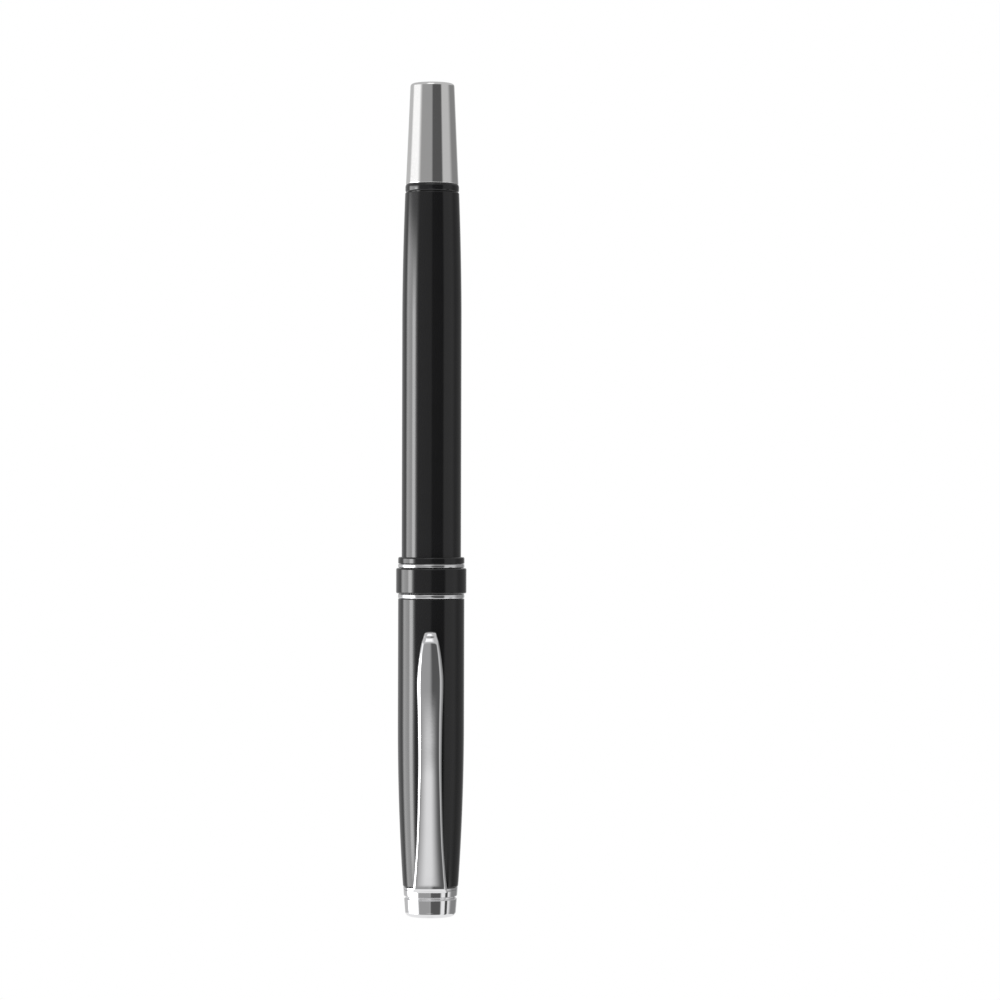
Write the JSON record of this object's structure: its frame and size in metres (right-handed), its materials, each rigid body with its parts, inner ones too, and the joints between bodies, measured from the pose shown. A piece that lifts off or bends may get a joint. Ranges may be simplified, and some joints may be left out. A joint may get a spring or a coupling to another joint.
{
  "type": "capped pen",
  "caption": "Slim black lacquered pen with a push-on cap, sprung bevelled clip, chrome trim rings, chrome crown and tapered chrome tail; needle-point refill inside.",
  "frame": {"origin": "centre of the crown's flat end face, on which the capped pen stands", "axes": "+Z along the pen's axis from the crown to the tail, -Y towards the clip, +X to the right when the clip faces the viewer"},
  "size_m": [0.0116, 0.014, 0.137],
  "materials": {
    "black_lacquer": "glossy black lacquer over drawn brass",
    "black_gloss_plastic": "glossy moulded black",
    "black_plastic": "satin moulded black",
    "white_plastic": "natural moulded plastic",
    "chrome": "bright plated",
    "steel": "drawn",
    "brass": "turned",
    "ink_fibre": "ink-soaked fibre",
    "carbide": "polished"
  },
  "bodies": {
    "cap": {"crown": "chrome", "crown_screw": "steel", "clip_ring": "chrome", "cap_tube": "black_lacquer", "inner_cap": "white_plastic", "mouth_bush": "black_plastic", "lower_trim_ring": "chrome", "centre_band": "black_lacquer", "upper_trim_ring": "chrome", "lip_ring": "black_lacquer"},
    "clip": {"clip": "chrome"},
    "section": {"grip_section": "black_gloss_plastic", "section_ring": "chrome", "section_thread": "brass", "nose_cone": "chrome"},
    "refill": {"refill_tube": "steel", "refill_plug": "white_plastic", "ink_reservoir": "ink_fibre", "tip_holder": "white_plastic", "feed_rod": "ink_fibre", "needle_tip": "steel"},
    "ball": {"writing_ball": "carbide"},
    "spring": {"refill_spring": "steel"},
    "barrel": {"barrel_insert": "brass", "barrel_tube": "black_lacquer", "joint_ring": "black_lacquer", "tail_insert": "brass", "tail_cone": "chrome"}
  },
  "joints": [
    {"name": "clip_flex", "type": "hinge", "parent": "cap", "child": "clip", "pos_m": [0, -0.0054, 0.0046], "axis": [1, 0, 0], "range_deg": [0, 4], "stiffness_Nm_per_rad": 4},
    {"name": "cap_pull", "type": "slide", "parent": "cap", "child": "section", "axis": [0, 0, 1], "range_m": [0, 0.05]},
    {"name": "refill_float", "type": "slide", "parent": "section", "child": "refill", "axis": [0, 0, 1], "range_m": [0, 0.0005], "stiffness_N_per_m": 500, "springref_m": -0.002, "deforming": ["refill_spring"]},
    {"name": "ball_roll", "type": "hinge", "parent": "refill", "child": "ball", "pos_m": [0, 0, 0.01225], "axis": [1, 0, 0], "continuous": true},
    {"name": "barrel_back_off", "type": "slide", "parent": "section", "child": "spring", "axis": [0, 0, 1], "range_m": [0, 0.0091]},
    {"name": "barrel_unscrew", "type": "hinge", "parent": "spring", "child": "barrel", "pos_m": [0, 0, 0.0625], "axis": [0, 0, 1], "range_deg": [0, 2160]}
  ],
  "couplings": [
    {"joint": "barrel_back_off", "follows": "barrel_unscrew", "m_per_rad": 0.00023873}
  ]
}
